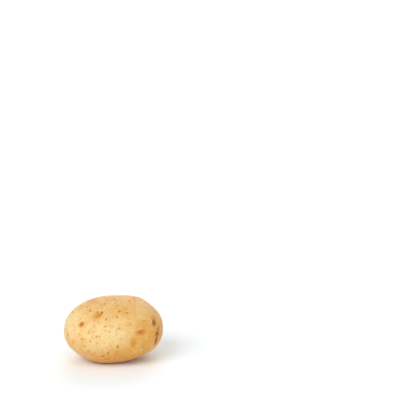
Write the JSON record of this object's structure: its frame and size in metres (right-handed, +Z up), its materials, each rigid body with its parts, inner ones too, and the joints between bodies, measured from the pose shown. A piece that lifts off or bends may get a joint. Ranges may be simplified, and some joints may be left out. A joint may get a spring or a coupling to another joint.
{
  "type": "potato",
  "caption": "Whole washed potato: an oval tuber with shallow eyes, lying on a small flat spot of its underside.",
  "frame": {"origin": "on the surface the potato rests on, below the middle of its box", "axes": "+X along the tuber, from the heel (stolon end) to the rose end, where the eyes crowd together; +Z up"},
  "size_m": [0.0958, 0.073, 0.0615],
  "materials": {
    "skin": "thin, smooth, pale golden potato skin, washed, with brown lenticels and faint netting"
  },
  "bodies": {
    "root": {"potato": "skin"}
  },
  "joints": []
}
